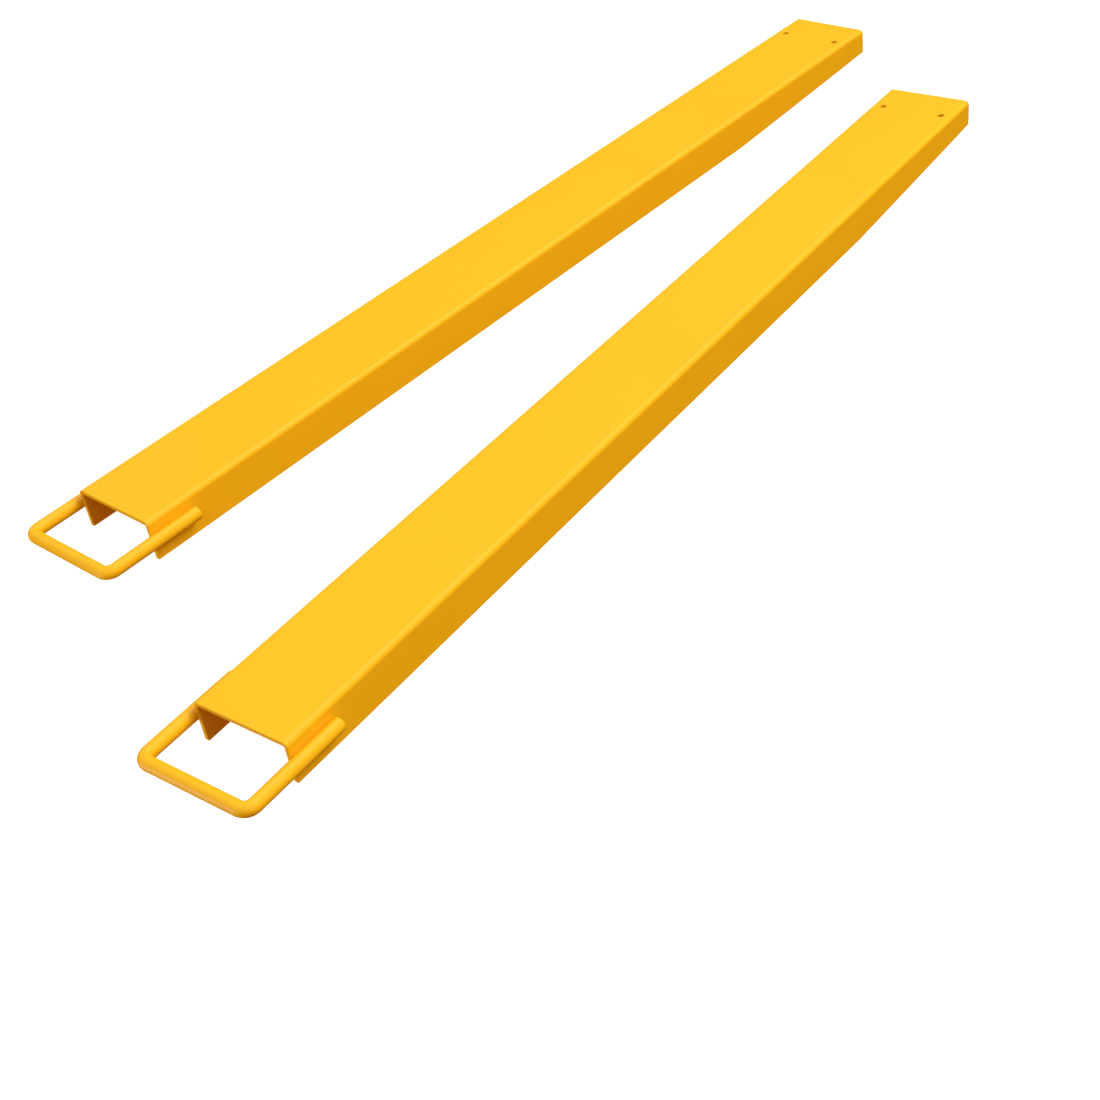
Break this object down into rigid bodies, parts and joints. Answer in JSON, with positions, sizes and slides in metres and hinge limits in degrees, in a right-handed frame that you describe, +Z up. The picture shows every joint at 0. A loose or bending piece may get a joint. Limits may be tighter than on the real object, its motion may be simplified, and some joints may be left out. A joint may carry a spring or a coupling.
{
  "type": "pallet fork extension pair",
  "caption": "Steel fork extensions: an open-bottomed channel with flanges that taper to the tip, and a bent round-bar loop welded on at the rear to hold it on a forklift's fork.",
  "frame": {"origin": "on the floor, under the middle of the bounding box of the pair as it lies loose", "axes": "+X along the left extension from its loop to its tip, +Y to the left of someone who looks towards the tips, +Z up"},
  "size_m": [2.1294, 0.6914, 0.065],
  "materials": {
    "channel_powder_coat": "yellow powder coat, satin, on folded steel plate",
    "loop_powder_coat": "yellow powder coat, semi-gloss, on round steel bar",
    "weld_powder_coat": "yellow powder coat over a rippled fillet weld"
  },
  "bodies": {
    "left_extension": {"left_channel": "channel_powder_coat", "left_inboard_lower_weld": "weld_powder_coat", "left_inboard_upper_weld": "weld_powder_coat", "left_outboard_lower_weld": "weld_powder_coat", "left_outboard_upper_weld": "weld_powder_coat", "left_retaining_loop": "loop_powder_coat"},
    "right_extension": {"right_channel": "channel_powder_coat", "right_inboard_lower_weld": "weld_powder_coat", "right_inboard_upper_weld": "weld_powder_coat", "right_outboard_lower_weld": "weld_powder_coat", "right_outboard_upper_weld": "weld_powder_coat", "right_retaining_loop": "loop_powder_coat"}
  },
  "joints": [
    {"name": "fork_spread", "type": "slide", "parent": "left_extension", "child": "right_extension", "axis": [0, -1, 0], "range_m": [-0.17, 0.4]}
  ]
}
